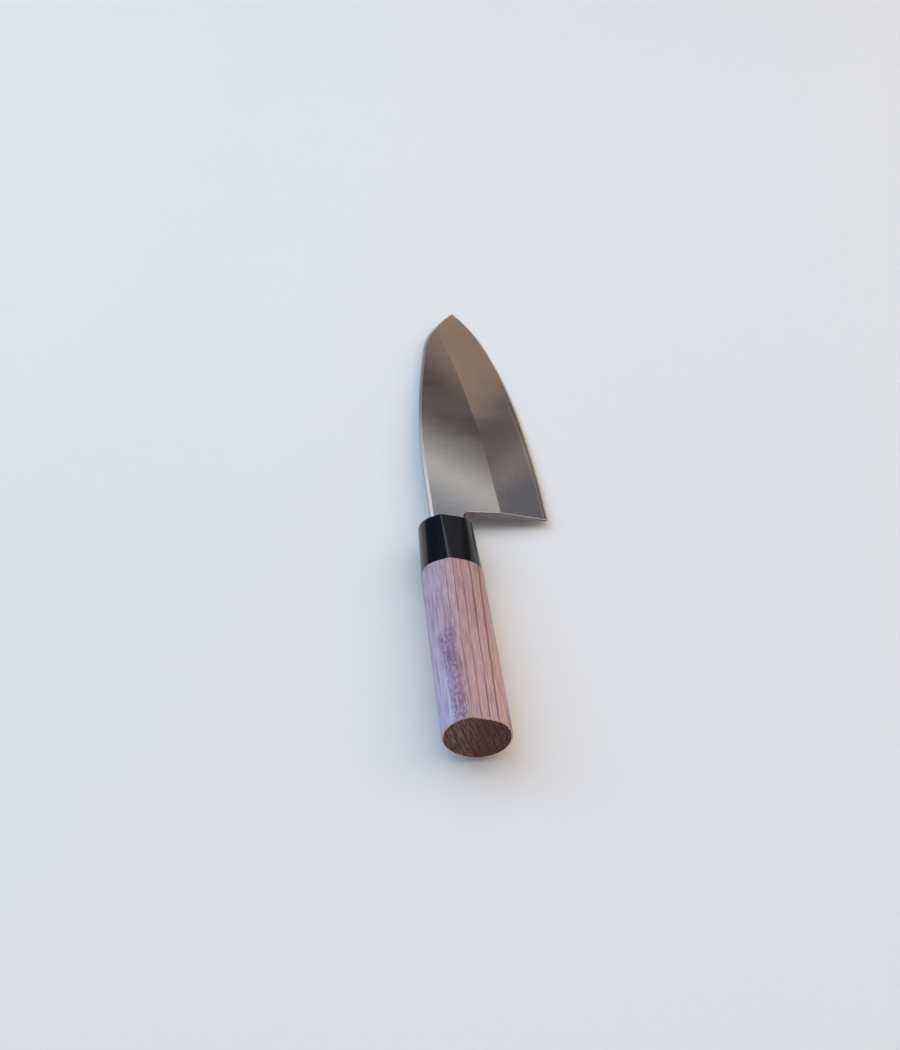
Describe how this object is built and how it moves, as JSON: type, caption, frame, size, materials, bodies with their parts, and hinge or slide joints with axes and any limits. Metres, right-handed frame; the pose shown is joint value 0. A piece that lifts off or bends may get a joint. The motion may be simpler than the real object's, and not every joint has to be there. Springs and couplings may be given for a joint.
{
  "type": "deba knife",
  "caption": "Heavy right-handed kitchen knife with a single-bevel blade, hollow-ground back, black horn ferrule and softly ridged oval wooden handle, for filleting fish.",
  "frame": {"origin": "centre of the handle's flat butt face", "axes": "+X along the handle's axis to the tip, +Y towards the spine, +Z out of the bevelled face"},
  "size_m": [0.3015, 0.0602, 0.0223],
  "materials": {
    "steel": "satin, with a fine polish along the cutting edge",
    "horn": "polished black buffalo horn",
    "wood": "smooth, unvarnished, with fine dark grain",
    "resin": "cured dark resin"
  },
  "bodies": {
    "root": {"blade": "steel", "ferrule": "horn", "handle": "wood", "tang_bedding": "resin", "mouth_seal": "resin"}
  },
  "joints": []
}
